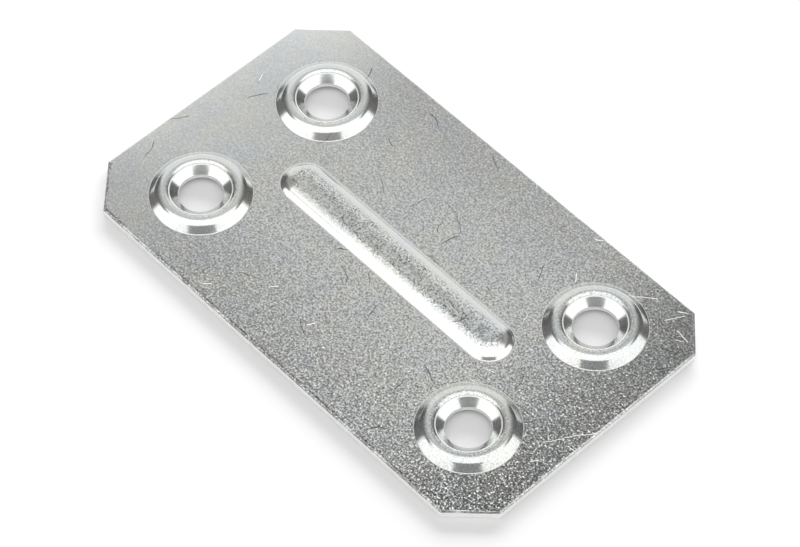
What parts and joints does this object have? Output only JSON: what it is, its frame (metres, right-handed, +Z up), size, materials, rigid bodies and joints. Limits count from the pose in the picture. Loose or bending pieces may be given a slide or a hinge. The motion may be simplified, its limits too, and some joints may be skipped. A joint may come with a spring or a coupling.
{
  "type": "mending plate",
  "caption": "Flat pressed steel mending plate with snipped corners, a middle stiffening rib and raised countersunk screw seats.",
  "frame": {"origin": "middle of the underside, which lies on the joint that the plate mends", "axes": "+X along the plate, +Y across it, +Z up through its face, the way the screw seats are raised"},
  "size_m": [0.06, 0.0356, 0.0019],
  "materials": {
    "zinc_plated_steel": "bright zinc plating over rolled sheet, finely grained, with the pressed flanks burnished"
  },
  "bodies": {
    "root": {"mending_plate": "zinc_plated_steel"}
  },
  "joints": []
}
